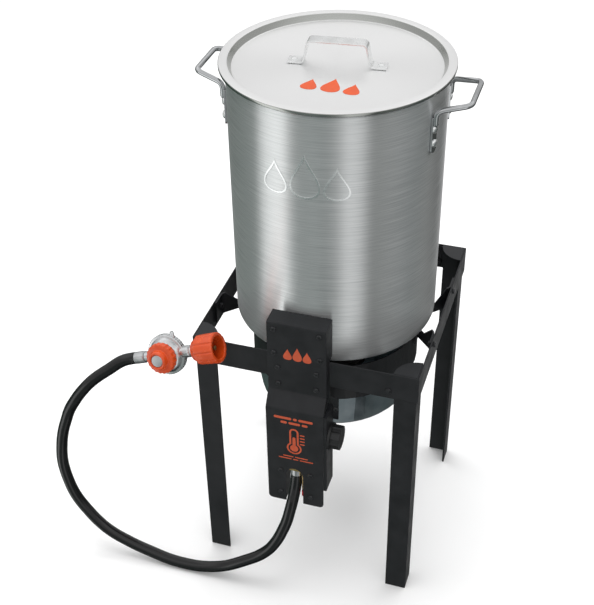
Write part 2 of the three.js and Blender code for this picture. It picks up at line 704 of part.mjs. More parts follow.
function gasValve() {
  const body = block(-16, 18, -186, -172, 250, 338);
  const front = block(-14, 14, -201, -185, 250, 300);
  const orifice = revolveAlong('y', [[0, -173], [7, -173], [7, -158], [5, -157], [5, -152], [2, -147],
    [0, -147]], 12).translate(0, 0, venturiHeight);
  const boss = revolveAlong('x', [[0, 10], [8, 10], [8, 30], [0, 30]], 12).translate(0, knobY, knobHeight);
  const stemBore = revolveAlong('x', [[0, 14], [stemRadius + gap, 14], [stemRadius + gap, 32], [0, 32]], 12);
  const guide = revolve([[0, guideBottom], [4, guideBottom], [4, 252], [0, 252]], 12);
  const guideBore = revolve([[0, 205], [2 + gap, 205], [2 + gap, 247], [0, 247]], 12);
  return cut(join(body, front, orifice, boss, guide.translate(...buttonPlace, 0)),
    stemBore.translate(0, knobY, knobHeight), guideBore.translate(...buttonPlace, 0));
}

function resetButton() {
  return revolve([[0, 198], [3.6, 198], [4.5, 199.5], [4.5, 208], [2, 208], [2, 240], [0, 240]], 12)
    .translate(...buttonPlace, 0);
}

// A round outline with shallow lobes round its edge.
function lobed(radius, depth, lobes) {
  const points = [];
  for (let i = 0; i < lobes * 4; i += 1) {
    const angle = (i / (lobes * 4)) * Math.PI * 2;
    const reach = radius + depth * Math.max(0, Math.cos(angle * lobes));
    points.push([reach * Math.cos(angle), reach * Math.sin(angle)]);
  }
  return outline(points);
}

function controlKnob() {
  const grip = extrudeUp(lobed(knobRadius - 3, 1, 12), 47, 63).rotateY(Math.PI / 2);
  const skirt = revolveAlong('x', [[0, 45.5], [knobRadius, 45.5], [knobRadius, 49], [0, 49]], 28);
  const stem = revolveAlong('x', [[0, 16], [stemRadius, 16], [stemRadius, 46], [0, 46]], 12);
  return join(grip, skirt, stem).translate(0, knobY, knobHeight);
}

function addControls() {
  add('control_cover', controlCover(), 'blackPaint');
  add('valve_housing', valveHousing(), 'blackPaint');
  add('housing_plate', housingPlate(), 'blackPaint');
  add('sensor_plate', sensorPlate(), 'blackPaint');
  add('sensor_plunger', sensorPlunger(), 'steel');
  add('sensor_spring', sensorSpring(), 'steel');
  add('gas_valve', gasValve(), 'brass');
  add('control_knob', controlKnob(), 'blackPlastic');
  add('reset_button', resetButton(), 'red');
}

// ---------------------------------------------------------------- gas hose and regulator
// Centre line of the hose from the valve to the regulator, chosen by hand.
const hoseRoute = [
  [-5.5, -191.8, 237.6], [-5.5, -191.8, 232], [-5.7, -195.5, 217], [-6.8, -202, 202], [-8, -208, 190],
  [-11, -212, 173],
  [-15, -215, 153], [-22, -219, 131], [-31, -223, 109], [-47, -227, 84], [-84, -230, 52],
  [-138, -230.5, 19], [-200, -231, 9.6], [-257, -230, 19], [-293, -230, 31], [-323, -230, 46],
  [-344, -229, 63], [-360, -228, 82], [-372, -228, 101], [-381, -228, 122], [-387, -227, 143],
  [-391, -226, 164], [-392, -226, 187], [-389, -225, 219], [-382, -224, 252], [-375, -222, 274],
  [-367, -220, 296], [-355, -218, 318], [-341, -214, 339], [-323, -209, 360], [-297, -202, 382],
  [-276, -196, 398.2], [-260.2, -194, 405.3],
  [-253.7, -194, 407.8],
];

function addHose() {
  const points = hoseRoute.map((p) => new THREE.Vector3(...p));
  const route = new THREE.CatmullRomCurve3(points.slice(1, -1), false, 'centripetal');
  const path = [points[0], ...route.getSpacedPoints(44), points[points.length - 1]];
  add('gas_hose', sweep(path, hoseRadius, 10), 'rubber');
  add('hose_ferrule_valve', revolve([[0, 238], [9, 238], [9.2, 239], [9.2, 249.7], [0, 249.7]], 16)
    .translate(-5.5, -191.8, 0), 'steel');
}

// The regulator is built with its gas line along X and its dial facing -Y.
function addRegulator() {
  const line = new THREE.Group();
  line.position.set(...regulatorPlace);
  line.rotation.y = -THREE.MathUtils.degToRad(regulatorSlope);
  product.add(line);
  const lean = new THREE.Group();
  lean.rotation.x = -THREE.MathUtils.degToRad(regulatorLean);
  line.add(lean);

  const shell = revolveAlong('y', [
    [0, -13], [20, -13], [24, -11], [26, -4.5], [31, -4.5], [31, 5], [28, 5], [25, 13], [12, 18], [0, 18],
  ], 28);
  const inlet = revolveAlong('x', [[0, 20], [9, 20], [9, 40], [7, 41], [7, 44], [0, 44]], 16);
  const outlet = revolveAlong('x', [[0, -38], [8, -38], [8, -20], [0, -20]], 16);
  const vent = revolve([[0, 25], [3, 25], [3, 35], [0, 35]], 12).translate(8, 0, 0);
  add('regulator_body', join(shell, inlet, outlet, vent), 'zinc', lean);

  const skirt = extrudeUp(lobed(22.4, 0.9, 10), 13 + gap, 24).rotateX(Math.PI / 2);
  const hub = revolveAlong('y', [[0, -32], [8.6, -32], [8.6, -33.5], [12, -33.5], [13.5, -32], [14, -23],
    [0, -23]], 24);
  add('regulator_dial', join(skirt, hub), 'orange', lean);

  add('tank_nipple', revolveAlong('x', [[0, 44.3], [7, 44.3], [7, 58], [5.5, 60], [5.5, 72], [3.5, 82],
    [0, 82]], 14), 'brass', line);
  const wall = revolveAlong('x', [
    [7.5, nutStart - 4], [15, nutStart - 4], [16, nutStart], [nutRadius - 3, nutStart + 5],
    [nutRadius - 1.5, nutEnd], [17, nutEnd], [17, nutStart + 4], [7.5, nutStart + 4], [7.5, nutStart - 4],
  ], 24);
  const ribs = [];
  const ribCount = 12;
  for (let i = 0; i < ribCount; i += 1) {
    const rib = block(nutStart + 5, nutEnd - 1, -2.2, 2.2, nutRadius - 5, nutRadius - 0.2);
    rib.rotateX((i / ribCount) * Math.PI * 2);
    ribs.push(rib);
  }
  add('coupling_nut', join(wall, ...ribs), 'orange', line);
  add('hose_ferrule_regulator', revolveAlong('x', [[0, -56], [8.8, -56], [9.2, -55], [9.2, -39.5],
    [8, -38.3], [0, -38.3]], 16), 'steel', line);
}

addKettle();
addLid();
addFrame();
addBurner();
addControls();
addHose();
addRegulator();

export default product;
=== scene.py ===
# Outdoor brew kettle on its gas burner stand: materials, detailed pieces, lights and camera.
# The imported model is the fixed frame. Drawing sizes are in millimetres, as in the design, with
# the kettle's axis at x = y = 0; point() turns them into metres in the model's frame.
import bpy
import bmesh
import json
from math import atan2, cos, pi, radians, sin, sqrt
from mathutils import Matrix, Vector


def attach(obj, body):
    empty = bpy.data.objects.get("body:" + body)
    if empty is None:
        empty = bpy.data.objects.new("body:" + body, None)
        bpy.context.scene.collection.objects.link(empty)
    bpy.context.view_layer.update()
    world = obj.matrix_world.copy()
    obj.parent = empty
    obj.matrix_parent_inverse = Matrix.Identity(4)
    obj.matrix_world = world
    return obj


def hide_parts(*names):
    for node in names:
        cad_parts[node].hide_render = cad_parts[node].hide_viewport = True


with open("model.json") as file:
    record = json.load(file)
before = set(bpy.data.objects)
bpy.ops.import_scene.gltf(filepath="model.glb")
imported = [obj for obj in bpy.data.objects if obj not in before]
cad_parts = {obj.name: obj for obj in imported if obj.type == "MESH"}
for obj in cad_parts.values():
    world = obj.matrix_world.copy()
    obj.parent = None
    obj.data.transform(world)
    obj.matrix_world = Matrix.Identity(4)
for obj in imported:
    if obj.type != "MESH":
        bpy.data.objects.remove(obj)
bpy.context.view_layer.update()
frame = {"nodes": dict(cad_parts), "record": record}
nodes = frame["nodes"]

MM = 0.001
AXIS_Y = 17                     # the kettle's axis behind the origin


def point(x, y, z):
    return Vector((x, y + AXIS_Y, z)) * MM


# ---------------------------------------------------------------- sizes
KETTLE_R = 152
KETTLE_BASE = 428.5
KETTLE_RIM = 835.7
LID_R = 161
LID_TOP = 837.5
LID_FLOOR = 828
LID_FLOOR_R = 144.3
HOSE_R = 9.1
REGULATOR = (-201, -194, 428)
REGULATOR_SLOPE = radians(21)
REGULATOR_LEAN = radians(17.5)

# ---------------------------------------------------------------- camera
# Angles are in radians and lengths in millimetres.
TARGET = (0, 0, 450)
VIEW_AZIMUTH = 0.320078
VIEW_ELEVATION = 0.645944
VIEW_ROLL = -0.018342
VIEW_DISTANCE = 1794.9
VIEW_OFFSET = (-60.0, -19.4)    # the camera's shift to the right and up
VIEW_LENS = 69.287
SENSOR_WIDTH = 36


def add_camera():
    back = Vector((sin(VIEW_AZIMUTH) * cos(VIEW_ELEVATION),
                   -cos(VIEW_AZIMUTH) * cos(VIEW_ELEVATION), sin(VIEW_ELEVATION)))
    level = Vector((cos(VIEW_AZIMUTH), sin(VIEW_AZIMUTH), 0))
    raised = back.cross(level)
    right = cos(VIEW_ROLL) * level + sin(VIEW_ROLL) * raised
    up = cos(VIEW_ROLL) * raised - sin(VIEW_ROLL) * level
    shift = back * VIEW_DISTANCE + right * VIEW_OFFSET[0] + up * VIEW_OFFSET[1]
    place = point(*TARGET) + shift * MM
    data = bpy.data.cameras.new("camera")
    data.lens = VIEW_LENS
    data.sensor_width = SENSOR_WIDTH
    camera = bpy.data.objects.new("camera", data)
    bpy.context.scene.collection.objects.link(camera)
    turned = Matrix((right, up, back)).transposed().to_4x4()
    camera.matrix_world = Matrix.Translation(place) @ turned
    bpy.context.scene.camera = camera


add_camera()


# ---------------------------------------------------------------- materials
# Where a Mix node keeps its factor, its two colours and its result.
MIX_FACTOR = 0
MIX_LOW = 6
MIX_HIGH = 7
MIX_RESULT = 2


def add_node(tree, kind, inputs=None, **settings):
    """Adds a shader node, sets its properties, and links or sets its inputs."""
    made = tree.nodes.new(kind)
    for key, value in settings.items():
        setattr(made, key, value)
    for key, value in (inputs or {}).items():
        if isinstance(value, bpy.types.NodeSocket):
            tree.links.new(value, made.inputs[key])
        else:
            made.inputs[key].default_value = value
    return made


def add_mix(tree, factor, low, high):
    """One colour where the factor is 0, the other where it is 1."""
    inputs = {MIX_FACTOR: factor, MIX_LOW: low, MIX_HIGH: high}
    return add_node(tree, "ShaderNodeMix", inputs, data_type="RGBA").outputs[MIX_RESULT]


NOISE_ROUGHNESS = 0.55
NOISE_LOW, NOISE_HIGH = 0.3, 0.7     # the span that a noise mostly keeps to
GRIT_DETAIL = 2.0


class Look:
    """A node material: the Principled shader, with short ways to add nodes and links."""

    def __init__(self, name, base, metallic, roughness, sockets=None):
        self.material = bpy.data.materials.new(name)
        self.material.use_nodes = True
        self.tree = self.material.node_tree
        self.shader = self.tree.nodes["Principled BSDF"]
        settings = {"Base Color": (*base, 1), "Metallic": metallic, "Roughness": roughness}
        for key, value in {**settings, **(sockets or {})}.items():
            self.shader.inputs[key].default_value = value
        self.coords = self.node("ShaderNodeTexCoord").outputs["Object"]

    def node(self, kind, inputs=None, **settings):
        return add_node(self.tree, kind, inputs, **settings)

    def math(self, operation, a, b=0.0):
        return self.node("ShaderNodeMath", {0: a, 1: b}, operation=operation).outputs[0]

    def noise(self, where, scale, detail):
        made = self.node("ShaderNodeTexNoise",
                         {"Vector": where, "Scale": scale, "Detail": detail, "Roughness": NOISE_ROUGHNESS})
        return made.outputs["Fac"]

    def remap(self, value, low, high, from_low=NOISE_LOW, from_high=NOISE_HIGH):
        made = self.node("ShaderNodeMapRange", {"Value": value, "From Min": from_low,
                                                "From Max": from_high, "To Min": low, "To Max": high})
        return made.outputs["Result"]

    def colour(self, factor, dark, light):
        self.link(add_mix(self.tree, factor, (*dark, 1), (*light, 1)), "Base Color")

    def link(self, output, socket):
        self.tree.links.new(output, self.shader.inputs[socket])

    def bump(self, height, strength, distance_mm):
        made = self.node("ShaderNodeBump", {"Height": height, "Strength": strength,
                                            "Distance": distance_mm * MM})
        self.link(made.outputs["Normal"], "Normal")


def turned_coordinates(look, flat):
    """Coordinates that run round the kettle's axis: (arc, height) or, on a flat disc, (arc, radius)."""
    centred = look.node("ShaderNodeVectorMath", {0: look.coords, 1: (0, AXIS_Y * MM, 0)},
                        operation="SUBTRACT").outputs[0]
    parts = look.node("ShaderNodeSeparateXYZ", {0: centred})
    x, y, z = parts.outputs
    angle = look.math("ARCTAN2", x, look.math("MULTIPLY", y, -1.0))
    squares = look.math("ADD", look.math("MULTIPLY", x, x), look.math("MULTIPLY", y, y))
    across = look.math("SQRT", squares) if flat else z
    return angle, across


# Grooves of the brushed metal: how often they vary along the arc and across it.
FINE_GROOVES = (3.0, 2600.0)
BROAD_GROOVES = (1.6, 620.0)
FINE_SHARE = 0.6
GROOVE_DETAIL = 3.0
GROOVE_STRENGTH = 0.3
GROOVE_DEPTH = 0.06
QUARTER_TURN = 0.25
UPRIGHT = 0.45                  # below this upward share of the normal a face is painted darker, as painted shade, and smoother
LEVEL = 0.9                     # above this share it is as turned
UPRIGHT_ROUGHNESS_SHARE = 0.4                 # an upright face's share of the turned face's roughness


def brushed_aluminium(name, flat, anisotropic, rough, tints):
    """Aluminium with fine grooves round the kettle's axis.

    The tints follow the grooves or, on the flat lid, the slope: its upright faces are smoother
    and painted darker than its turned floor, as painted shade.
    """
    look = Look(name, tints[1], 1.0, rough[0],
                {"Anisotropic": anisotropic, "Anisotropic Rotation": QUARTER_TURN})
    angle, across = turned_coordinates(look, flat)

    def streaks(arc_scale, across_scale):
        where = look.node("ShaderNodeCombineXYZ", {0: look.math("MULTIPLY", angle, arc_scale),
                                                   1: look.math("MULTIPLY", across, across_scale)})
        return look.noise(where.outputs[0], 1.0, GROOVE_DETAIL)

    fine = look.math("MULTIPLY", streaks(*FINE_GROOVES), FINE_SHARE)
    broad = look.math("MULTIPLY", streaks(*BROAD_GROOVES), 1 - FINE_SHARE)
    grooves = look.math("ADD", fine, broad)
    spread = look.remap(grooves, *rough)
    if flat:
        normal = look.node("ShaderNodeNewGeometry").outputs["Normal"]
        slope = look.node("ShaderNodeSeparateXYZ", {0: normal}).outputs[2]
        upward = look.remap(slope, 0.0, 1.0, UPRIGHT, LEVEL)
        spread = look.math("MULTIPLY", spread, look.remap(upward, UPRIGHT_ROUGHNESS_SHARE, 1.0, 0.0, 1.0))
        # upright faces take the dark tint: painted shade on the lid's recess wall
        look.colour(upward, *tints)
    else:
        look.colour(look.remap(grooves, 0.0, 1.0), *tints)
    look.link(spread, "Roughness")
    look.bump(grooves, GROOVE_STRENGTH, GROOVE_DEPTH)
    tangent = look.node("ShaderNodeTangent", direction_type="RADIAL", axis="Z")
    look.link(tangent.outputs[0], "Tangent")
    return look.material


def grained(name, dark, light, rough, grain, detail, grit, strength, depth, metallic=0.0, sockets=None):
    """A finish whose colour and roughness drift with a broad grain, over a fine raised grit."""
    look = Look(name, light, metallic, rough[0], sockets)
    broad = look.noise(look.coords, grain, detail)
    fine = look.noise(look.coords, grit, GRIT_DETAIL)
    look.colour(look.remap(broad, 0.0, 1.0), dark, light)
    look.link(look.remap(broad, *rough), "Roughness")
    look.bump(fine, strength, depth)
    return look.material


METAL = {"metallic": 1.0, "grain": 60.0, "detail": 4.0, "grit": 900.0, "strength": 0.1, "depth": 0.1}
PLASTIC = {"grain": 90.0, "detail": 3.0, "grit": 1600.0, "strength": 0.06, "depth": 0.08}
POWDER = {"grain": 38.0, "detail": 4.0, "grit": 1400.0, "strength": 0.25, "depth": 0.15,
          "sockets": {"Specular IOR Level": 0.35}}

# Each finish: its kind, its dark and light tints, its range of roughness, and what differs from its kind.
FINISHES = {
    "strap_aluminium": (METAL, (0.86, 0.87, 0.87), (0.94, 0.95, 0.95), (0.22, 0.3), {"grain": 70.0}),
    "blackened_steel": (METAL, (0.012, 0.0125, 0.014), (0.03, 0.031, 0.034), (0.28, 0.42),
                        {"grain": 200.0, "metallic": 0.3}),
    "chromed_rod": (METAL, (0.45, 0.46, 0.47), (0.56, 0.57, 0.58), (0.05, 0.1), {"strength": 0.02}),
    "zinc_plated_steel": (METAL, (0.5, 0.51, 0.52), (0.7, 0.71, 0.72), (0.25, 0.4), {}),
    "galvanised_steel": (METAL, (0.36, 0.43, 0.47), (0.56, 0.62, 0.65), (0.28, 0.45), {"grain": 30.0}),
    "cast_iron": (METAL, (0.02, 0.02, 0.02), (0.06, 0.055, 0.05), (0.6, 0.8),
                  {"grain": 80.0, "grit": 700.0, "strength": 0.6, "metallic": 0.4}),
    "die_cast_zinc": (METAL, (0.62, 0.63, 0.64), (0.8, 0.81, 0.82), (0.22, 0.34), {"grain": 90.0}),
    "brass": (METAL, (0.5, 0.33, 0.12), (0.75, 0.54, 0.24), (0.22, 0.36), {"grain": 90.0}),
    "black_powder_coat": (POWDER, (0.009, 0.0095, 0.011), (0.015, 0.016, 0.018), (0.36, 0.5), {}),
    "orange_print": (PLASTIC, (0.46, 0.058, 0.012), (0.52, 0.072, 0.016), (0.4, 0.55), {}),
    "orange_plastic": (PLASTIC, (0.52, 0.052, 0.007), (0.6, 0.07, 0.01), (0.2, 0.3),
                       {"sockets": {"Coat Weight": 0.2}}),
    "red_plastic": (PLASTIC, (0.5, 0.01, 0.02), (0.65, 0.02, 0.03), (0.3, 0.4), {}),
    "black_plastic": (PLASTIC, (0.005, 0.005, 0.0055), (0.01, 0.01, 0.011), (0.45, 0.6), {}),
    "black_rubber": (PLASTIC, (0.003, 0.003, 0.0033), (0.005, 0.005, 0.0055), (0.16, 0.24), {}),
}

LOOKS = {name: grained(name, dark, light, rough, **{**kind, **own})
         for name, (kind, dark, light, rough, own) in FINISHES.items()}
LOOKS["spun_aluminium"] = brushed_aluminium("spun_aluminium", False, 0.96, (0.34, 0.43),
                                            ((0.56, 0.58, 0.58), (0.99, 1.0, 1.0)))
# On the lid the dark tint is painted shade on its upright faces, the light one its turned floor.
LOOKS["turned_aluminium"] = brushed_aluminium("turned_aluminium", True, 0.6, (0.4, 0.5),
                                              ((0.42, 0.43, 0.41), (0.94, 0.94, 0.94)))


# ---------------------------------------------------------------- piece helpers
PLACE = Matrix.Scale(MM, 4) @ Matrix.Translation((0, AXIS_Y, 0))
UNMOVED = Matrix.Identity(4)
EDGE_STEPS = 3
EDGE_ANGLE = radians(40)        # edges sharper than this are rounded


def make(name, build, body, slot, stands_for=(), look=None, bevel=0.0, sharp=35):
    """Builds a piece in drawing millimetres, gives it its finish and lets it ride on a body.

    Edges that turn by less than sharp degrees are shaded smooth, and bevel rounds the others.
    """
    shape = bmesh.new()
    build(shape)
    shape.transform(PLACE)
    bmesh.ops.recalc_face_normals(shape, faces=shape.faces)
    mesh = bpy.data.meshes.new(name)
    shape.to_mesh(mesh)
    shape.free()
    mesh.polygons.foreach_set("use_smooth", [True] * len(mesh.polygons))
    mesh.set_sharp_from_angle(angle=radians(sharp))
    piece = bpy.data.objects.new(name, mesh)
    bpy.context.scene.collection.objects.link(piece)
    mesh.materials.append(LOOKS[look or slot])
    if bevel:
        edge = piece.modifiers.new("edges", "BEVEL")
        edge.width = bevel * MM
        edge.segments = EDGE_STEPS
        edge.limit_method = "ANGLE"
        edge.angle_limit = EDGE_ANGLE
    if stands_for:
        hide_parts(*stands_for)
    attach(piece, body)
    return piece


def lathe(shape, profile, segments=128, turn=UNMOVED, closed=False, ripple=None):
    """A surface of revolution about Z from (radius, height) pairs, moved by turn.

    ripple may change a radius with the angle, for ribs and knurling.
    """
    rings = []
    for radius, height in profile:
        if radius == 0:
            rings.append([shape.verts.new(turn @ Vector((0, 0, height)))])
            continue
        ring = []
        for k in range(segments):
            angle = 2 * pi * k / segments
            reach = ripple(radius, angle) if ripple else radius
            spot = Vector((reach * cos(angle), reach * sin(angle), height))
            ring.append(shape.verts.new(turn @ spot))
        rings.append(ring)
    pairs = list(zip(rings, rings[1:])) + ([(rings[-1], rings[0])] if closed else [])
    for low, high in pairs:
        for k in range(segments):
            after = (k + 1) % segments
            if len(low) == 1:
                shape.faces.new((low[0], high[after], high[k]))
            elif len(high) == 1:
                shape.faces.new((low[k], low[after], high[0]))
            else:
                shape.faces.new((low[k], low[after], high[after], high[k]))


def arc(centre, radius, start, end, steps):
    """Points on an arc, as (radius, height) pairs, with angles in degrees."""
    points = []
    for i in range(steps + 1):
        angle = radians(start + (end - start) * i / steps)
        points.append((centre[0] + radius * cos(angle), centre[1] + radius * sin(angle)))
    return points


def bent(points, bend, steps=6):
    """Rounds the corners of a path of 3-D points."""
    corners = [Vector(p) for p in points]
    path = [corners[0]]
    for before, here, after in zip(corners, corners[1:], corners[2:]):
        start = here + (before - here).normalized() * bend
        end = here + (after - here).normalized() * bend
        for i in range(steps + 1):
            t = i / steps
            path.append(start * (1 - t) ** 2 + here * 2 * t * (1 - t) + end * t ** 2)
    path.append(corners[-1])
    return path


def tube(shape, path, radius, sides=20, turn=UNMOVED):
    """A round bar along a path, closed at both ends. radius may be a function of the path's fraction."""
    reach = radius if callable(radius) else lambda _: radius
    across = None
    rings = []
    for i, place in enumerate(path):
        along = (path[min(i + 1, len(path) - 1)] - path[max(i - 1, 0)]).normalized()
        if across is None:
            across = along.orthogonal()
        across = (across - along * across.dot(along)).normalized()
        other = along.cross(across)
        size = reach(i / (len(path) - 1))
        ring = []
        for k in range(sides):
            angle = 2 * pi * k / sides
            spot = place + (across * cos(angle) + other * sin(angle)) * size
            ring.append(shape.verts.new(turn @ spot))
        rings.append(ring)
    for low, high in zip(rings, rings[1:]):
        for k in range(sides):
            after = (k + 1) % sides
            shape.faces.new((low[k], low[after], high[after], high[k]))
    shape.faces.new(rings[0])
    shape.faces.new(rings[-1])


def prism(shape, outline, low, high, turn=UNMOVED):
    """A flat outline of (x, y) points given thickness from low to high, moved by turn."""
    bottom = [shape.verts.new(turn @ Vector((x, y, low))) for x, y in outline]
    top = [shape.verts.new(turn @ Vector((x, y, high))) for x, y in outline]
    shape.faces.new(bottom)
    shape.faces.new(top)
    for k in range(len(outline)):
        after = (k + 1) % len(outline)
        shape.faces.new((bottom[k], bottom[after], top[after], top[k]))


def strip_outline(points, thickness, bend, steps=6):
    """The outline of a bent strip seen edge on."""
    path = [Vector((p.x, p.y)) for p in bent([(x, y, 0) for x, y in points], bend, steps)]
    left, right = [], []
    for i, place in enumerate(path):
        along = (path[min(i + 1, len(path) - 1)] - path[max(i - 1, 0)]).normalized()
        across = Vector((-along.y, along.x)) * thickness / 2
        left.append(place + across)
        right.append(place - across)
    return [tuple(p) for p in left + right[::-1]]


def band(shape, outer, inner, levels, spot):
    """The band between two outlines with the same number of points, given thickness between two levels.

    spot turns a point (u, v) of an outline and a level into a place.
    """
    rows = []
    for level in levels:
        for outline in (outer, inner):
            rows.append([shape.verts.new(spot(u, v, level)) for u, v in outline])
    for k in range(len(outer)):
        after = (k + 1) % len(outer)
        for a, b in ((0, 1), (2, 3), (0, 2), (1, 3)):
            shape.faces.new((rows[a][k], rows[a][after], rows[b][after], rows[b][k]))


FACING_FRONT = Matrix.Rotation(radians(90), 4, "X")      # a flat drawing stood up, facing -Y
ALONG_X = Matrix.Rotation(radians(90), 4, "Y")           # an axis along Z laid along +X
ALONG_Y = Matrix.Rotation(radians(-90), 4, "X")          # an axis along Z laid along +Y


def around(degrees):
    return Matrix.Rotation(radians(degrees), 4, "Z")


def moved(x, y, z):
    return Matrix.Translation((x, y, z))


# ---------------------------------------------------------------- regulator
# Its profiles are (radius, height) pairs, with the body's centre at height 0.
GAS_LINE = moved(*REGULATOR) @ Matrix.Rotation(-REGULATOR_SLOPE, 4, "Y")
LEANING = GAS_LINE @ Matrix.Rotation(-REGULATOR_LEAN, 4, "X")


RIB_FULLNESS = 0.6              # below 1 the ribs are broader than a wave
GROOVE_NARROWNESS = 6


def ribbed(beyond, count, depth):
    """Ribs on the radii beyond a given one."""
    def ripple(radius, angle):
        if radius <= beyond:
            return radius
        return radius + depth * max(0.0, cos(count * angle)) ** RIB_FULLNESS
    return ripple


def fluted(beyond, count, depth):
    """Broad ribs with narrow grooves between them, on the radii beyond a given one."""
    def ripple(radius, angle):
        if radius <= beyond:
            return radius
        return radius + depth * (1 - max(0.0, cos(count * angle)) ** GROOVE_NARROWNESS)
    return ripple


VENT_ALONG = 17


def regulator_shell(shape):
    body = [(0, -13), (19, -13), (22, -12.4), (24.5, -10.5), (26, -7), (27, -5.3), (30, -4.8), (30.6, -4),
            (30.6, -0.9), (29.8, -0.5), (29.8, 0.5), (30.6, 0.9), (30.6, 4.2), (30, 5), (28, 5.2),
            (26.5, 8), (25, 12), (20, 15.5), (12, 17.7), (0, 18)]
    lathe(shape, body, 192, LEANING @ ALONG_Y, ripple=ribbed(30.2, 48, 0.4))
    inlet = [(0, 20), (8.4, 20), (8.4, 30), (9, 30.6), (9, 38.6), (8.4, 39.6), (7, 41), (7, 44), (0, 44)]
    lathe(shape, inlet, 48, LEANING @ ALONG_X)
    outlet = [(0, -38), (7.4, -38), (8, -37.2), (8, -30), (7.2, -29), (7.2, -20), (0, -20)]
    lathe(shape, outlet, 48, LEANING @ ALONG_X)
    vent = [(0, 20), (3, 20), (3, 31.6), (2.4, 33), (0, 33)]
    lathe(shape, vent, 32, LEANING @ moved(VENT_ALONG, 0, 0))


def regulator_knob(shape):
    profile = [(0, -13.4), (21.6, -13.4), (22.4, -14.2), (22.4, -21.5), (21.6, -23.2), (19.5, -24),
               (15.4, -24.4), (14.4, -25.4), (13.7, -31.6), (12.9, -33), (11.6, -33.5), (10.3, -33.2),
               (9.6, -32.2), (9.4, -30.6), (0, -30.6)]
    lathe(shape, profile, 200, LEANING @ ALONG_Y, ripple=ribbed(20.5, 20, 0.8))


def regulator_cap(shape):
    disc = [(0, -30.8), (9.1, -30.8), (9.1, -31.6), (8.5, -32.1), (0, -32.4)]
    lathe(shape, disc, 64, LEANING @ ALONG_Y)


def nut_shell(shape):
    profile = [(7.6, 48), (14.2, 48), (15.6, 49), (16.4, 52), (18.6, 54.2), (20.2, 56.6), (20.6, 60),
               (21.4, 84.5), (21.2, 86.8), (20.2, 88), (17.9, 88), (17.1, 87.2), (17.1, 57), (16.4, 56.2),
               (7.6, 56.2)]
    lathe(shape, profile, 240, GAS_LINE @ ALONG_X, closed=True, ripple=fluted(20, 10, 1.2))


def add_regulator():
    return [
        make("regulator_casting", regulator_shell, "stand", "die_cast_zinc", ["regulator_body"],
             sharp=30),
        make("regulator_hand_dial", regulator_knob, "dial", "orange_plastic", ["regulator_dial"],
             sharp=32),
        make("regulator_dial_cap", regulator_cap, "dial", "zinc_plated_steel", sharp=32),
        make("tank_coupling_nut", nut_shell, "nut", "orange_plastic", ["coupling_nut"], sharp=32),
    ]


# ---------------------------------------------------------------- gas hose
# The lay of the hose, from the valve's ferrule down to the ground and up to the regulator's.
HOSE_ROUTE = [
    (-5.5, -191.8, 237.6), (-5.5, -191.8, 232), (-5.7, -195.5, 217), (-6.8, -202, 202), (-8, -208, 190),
    (-11, -212, 173), (-15, -215, 153), (-22, -219, 131), (-31, -223, 109), (-47, -227, 84),
    (-84, -230, 52), (-138, -230.5, 19), (-200, -231, 9.6), (-257, -230, 19), (-293, -230, 31),
    (-323, -230, 46), (-344, -229, 63), (-360, -228, 82), (-372, -228, 101), (-381, -228, 122),
    (-387, -227, 143), (-391, -226, 164), (-392, -226, 187), (-389, -225, 219), (-382, -224, 252),
    (-375, -222, 274), (-367, -220, 296), (-355, -218, 318), (-341, -214, 339), (-323, -209, 360),
    (-297, -202, 382), (-276, -196, 398.2), (-260.2, -194, 405.3), (-253.7, -194, 407.8),
]
HOSE_SIDES = 6                  # how finely the hose is rounded, and how finely its route is
ROUTE_STEPS = 8


def add_hose(regulator_pieces):
    data = bpy.data.curves.new("hose_cord", "CURVE")
    data.dimensions = "3D"
    data.bevel_depth = HOSE_R * MM
    data.bevel_resolution = HOSE_SIDES
    data.resolution_u = ROUTE_STEPS
    data.use_fill_caps = True
    spline = data.splines.new("BEZIER")
    spline.bezier_points.add(len(HOSE_ROUTE) - 1)
    for knot, place in zip(spline.bezier_points, HOSE_ROUTE):
        knot.co = point(*place)
        knot.handle_left_type = "AUTO"
        knot.handle_right_type = "AUTO"
    hose = bpy.data.objects.new("hose_cord", data)
    bpy.context.scene.collection.objects.link(hose)
    data.materials.append(LOOKS["black_rubber"])
    bpy.context.view_layer.update()
    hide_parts("gas_hose")
    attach(hose, "stand")


add_hose(add_regulator())

# ---------------------------------------------------------------- finishes on the carried-over solids
FOLDED = ("frame_bar", "leg", "corner_clip", "kettle_bracket", "control_cover", "valve_housing",
          "housing_plate")
FOLD_RADIUS = 0.7
FOLD_STEPS = 2
WELD_REACH = 0.01
# The kettle's wall mirrors the studio alone, without these pieces that stand in front of it.
NOT_MIRRORED = ("control_cover", "valve_housing")


def finish_carried_solids():
    for subpart in frame["record"]["subparts"]:
        node = nodes[subpart["node"]]
        slot = subpart["material_slot"]
        node.data.materials.clear()
        node.data.materials.append(LOOKS[slot])
        if node.name in NOT_MIRRORED:
            node.visible_glossy = False
        if node.name.startswith(FOLDED):
            weld = node.modifiers.new("weld", "WELD")
            weld.merge_threshold = WELD_REACH * MM
            fold = node.modifiers.new("fold", "BEVEL")
            fold.width = FOLD_RADIUS * MM
            fold.segments = FOLD_STEPS
            fold.limit_method = "ANGLE"
            fold.angle_limit = EDGE_ANGLE
            fold.harden_normals = True


finish_carried_solids()

# ---------------------------------------------------------------- kettle
KETTLE_WALL = 1.9
KETTLE_CORNER = 12
BEAD_R = 4.0                    # the rolled rim
BEAD_OUT = 0.9                  # its centre beyond the wall
BEAD_BELOW = 0.1                # its top below the rim
INNER_EDGE_BELOW = 0.3          # the wall's inner edge below the rim
ROUND_STEPS = 160


